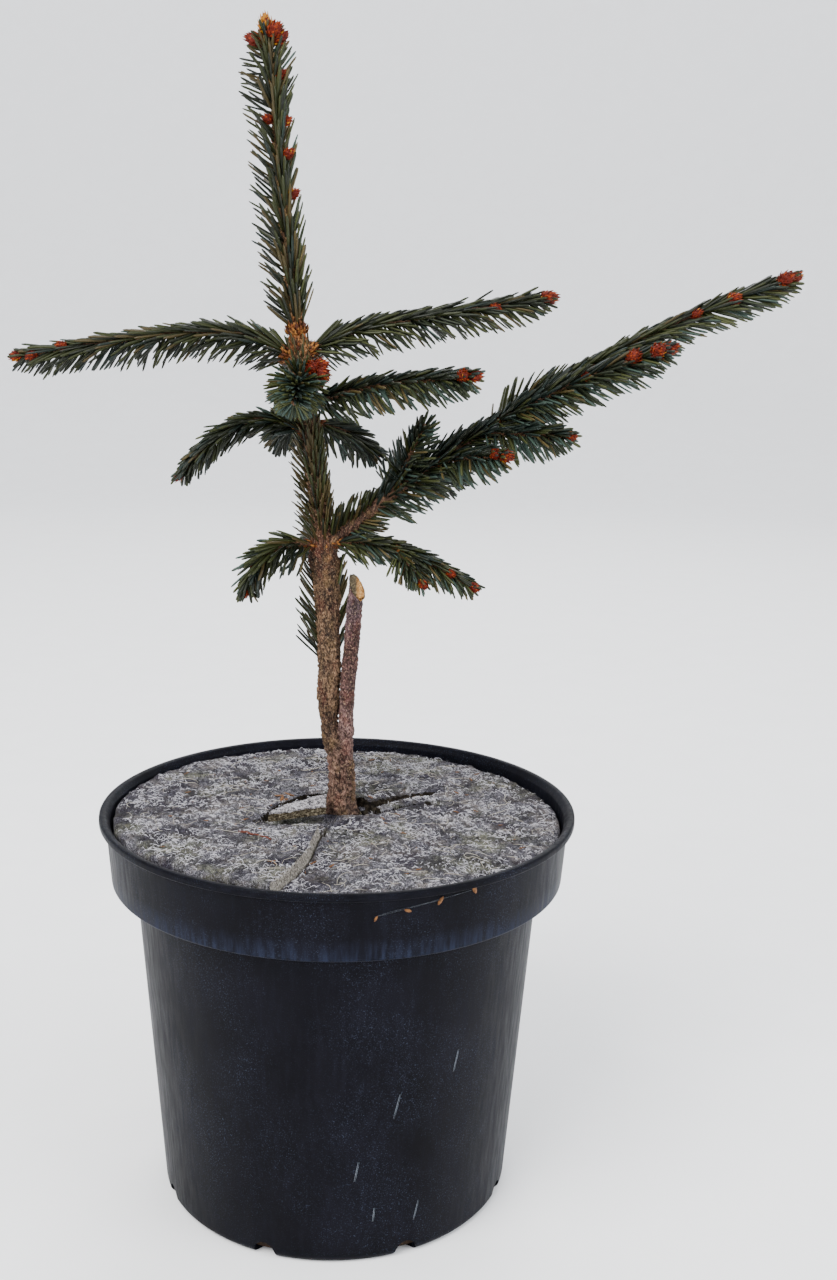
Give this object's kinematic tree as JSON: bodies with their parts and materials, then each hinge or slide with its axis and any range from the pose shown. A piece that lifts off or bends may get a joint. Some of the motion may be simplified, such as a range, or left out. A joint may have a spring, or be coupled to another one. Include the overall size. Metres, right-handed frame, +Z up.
{
  "type": "potted conifer",
  "caption": "Young grafted spruce with a straight leader, arching needle-clad side shoots and one long rising bough, in a round black nursery pot with a felted mulch disc.",
  "frame": {"origin": "centre of the pot's flat underside, on the pot's vertical axis", "axes": "+Z up along the pot's axis, +X towards the long rising bough, -Y towards the side that the picture shows"},
  "size_m": [0.3563, 0.225, 0.5469],
  "materials": {
    "pot_plastic": "satin black moulded plastic, dusty",
    "soil": "dark peat potting mix",
    "felt": "grey felted plant fibre, weathered",
    "bark": "scaly tan bark",
    "rootstock_bark": "reddish-brown ringed bark with a pale sawn end",
    "needles": "dark blue-green needles, satin",
    "buds": "orange-red scaly buds"
  },
  "bodies": {
    "root": {"pot": "pot_plastic", "potting_soil": "soil", "mulch_disc": "felt", "mulch_flap": "felt", "trunk": "bark", "rootstock_stub": "rootstock_bark", "right_bough": "bark", "leader_spray": "needles", "upper_trunk_spray": "needles", "lower_trunk_spray": "needles", "bough_foot_spray": "needles", "top_left_spray": "needles", "top_right_spray": "needles", "mid_right_spray": "needles", "mid_left_spray": "needles", "mid_short_spray": "needles", "low_left_spray": "needles", "low_right_spray": "needles", "bough_spray": "needles", "bough_tip_spray": "needles", "bough_front_spray": "needles", "bough_side_spray": "needles", "bough_back_spray": "needles", "top_front_spray": "needles", "bud_spur": "buds", "top_back_spray": "needles", "mid_back_spray": "needles", "low_back_spray": "needles"}
  },
  "joints": []
}
